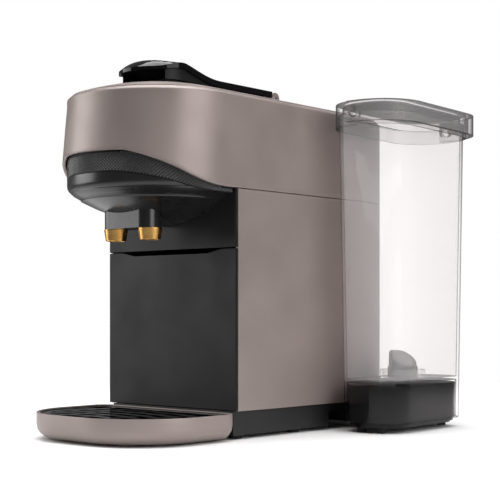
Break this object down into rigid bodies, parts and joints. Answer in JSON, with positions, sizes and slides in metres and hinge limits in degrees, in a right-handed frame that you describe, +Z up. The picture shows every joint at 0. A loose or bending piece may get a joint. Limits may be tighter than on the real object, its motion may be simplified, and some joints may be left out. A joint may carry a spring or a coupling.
{
  "type": "pod coffee machine",
  "caption": "Pod coffee machine with a lever-operated brewing head, twin spouts, drip tray, capsule bin and a lift-off water tank on a swivelling arm.",
  "frame": {"origin": "on the table, at the centre of the hub foot, on the axis that the water tank swivels about", "axes": "+Z up, -Y towards the user (the spouts and the drip tray), +X to the right seen from the front, where the tank stands at rest"},
  "size_m": [0.2174, 0.3343, 0.2807],
  "materials": {
    "shell": "satin metallic taupe",
    "dark": "satin dark grey",
    "black": "satin black",
    "gloss": "gloss black",
    "clear": "clear copolyester",
    "brass": "polished",
    "steel": "brushed",
    "rubber": "matte",
    "board": "green circuit board",
    "alloy": "cast",
    "hose": "translucent silicone"
  },
  "bodies": {
    "machine": {"base": "black", "swivel_spindle": "black", "feet": "rubber", "base_screws": "steel", "lower_shell": "shell", "upper_shell": "shell", "top_cover": "shell", "front_panel": "dark", "texture_band": "black", "head_underside": "dark", "spout_block": "dark", "spout_left": "brass", "spout_right": "brass", "bulkhead": "dark", "mid_deck": "dark", "deck_screws": "steel", "brew_chamber": "dark", "needle_plate": "steel", "coffee_duct": "dark", "guide_rods": "steel", "rod_bracket": "dark", "pump": "steel", "pump_dampers": "rubber", "thermoblock": "alloy", "flow_meter": "dark", "circuit_board": "board", "suction_hose": "hose", "pressure_hose": "hose", "water_tube": "steel", "cord_gland": "rubber", "hinge_pin": "steel", "button_board": "board"},
    "lever": {"lever_plate": "gloss", "lever_liner": "black"},
    "piston": {"brew_piston": "dark", "piston_seal": "rubber"},
    "key_short": {"button_short": "gloss"},
    "key_long": {"button_long": "gloss"},
    "key_double": {"button_double": "gloss"},
    "tray": {"tray_shell": "shell", "tray_liner": "black"},
    "grid": {"drip_grid": "black"},
    "bin": {"bin_front": "dark", "bin_box": "black"},
    "swivel": {"swivel_arm": "black", "tank_dock": "gloss", "dock_feet": "rubber", "dock_seal": "rubber"},
    "tank": {"water_tank": "clear", "intake_filter": "clear"},
    "plunger": {"valve_plunger": "dark"},
    "lid": {"tank_lid": "clear"},
    "handle": {"tank_handle": "clear"}
  },
  "joints": [
    {"name": "lever_hinge", "type": "hinge", "parent": "machine", "child": "lever", "pos_m": [0, -0.062, 0.2649], "axis": [-1, 0, 0], "range_deg": [0, 80]},
    {"name": "piston_slide", "type": "slide", "parent": "machine", "child": "piston", "axis": [0, 1, 0], "range_m": [0, 0.028]},
    {"name": "short_press", "type": "slide", "parent": "machine", "child": "key_short", "axis": [0, 0, -1], "range_m": [0, 0.0015], "stiffness_N_per_m": 400, "springref_m": -0.001},
    {"name": "long_press", "type": "slide", "parent": "machine", "child": "key_long", "axis": [0, 0, -1], "range_m": [0, 0.0015], "stiffness_N_per_m": 400, "springref_m": -0.001},
    {"name": "double_press", "type": "slide", "parent": "machine", "child": "key_double", "axis": [0, 0, -1], "range_m": [0, 0.0015], "stiffness_N_per_m": 400, "springref_m": -0.001},
    {"name": "tray_slide", "type": "slide", "parent": "machine", "child": "tray", "axis": [0, -1, 0], "range_m": [0, 0.115]},
    {"name": "grid_lift", "type": "slide", "parent": "tray", "child": "grid", "axis": [0, 0, 1], "range_m": [0, 0.03]},
    {"name": "bin_slide", "type": "slide", "parent": "machine", "child": "bin", "axis": [0, -1, 0], "range_m": [0, 0.115]},
    {"name": "tank_swivel", "type": "hinge", "parent": "machine", "child": "swivel", "pos_m": [0, 0, 0.009], "axis": [0, 0, 1], "range_deg": [0, 173]},
    {"name": "tank_lift", "type": "slide", "parent": "swivel", "child": "tank", "axis": [0, 0, 1], "range_m": [0, 0.045]},
    {"name": "valve_lift", "type": "slide", "parent": "tank", "child": "plunger", "axis": [0, 0, 1], "range_m": [0, 0.003], "stiffness_N_per_m": 200, "springref_m": -0.001},
    {"name": "lid_lift", "type": "slide", "parent": "tank", "child": "lid", "axis": [0, 0, 1], "range_m": [0, 0.03]},
    {"name": "handle_hinge", "type": "hinge", "parent": "lid", "child": "handle", "pos_m": [0.10331, 0.00632, 0.246], "axis": [0.061, -0.9981, 0], "range_deg": [0, 88]}
  ],
  "couplings": [
    {"joint": "piston_slide", "follows": "lever_hinge", "m_per_rad": 0.02}
  ]
}
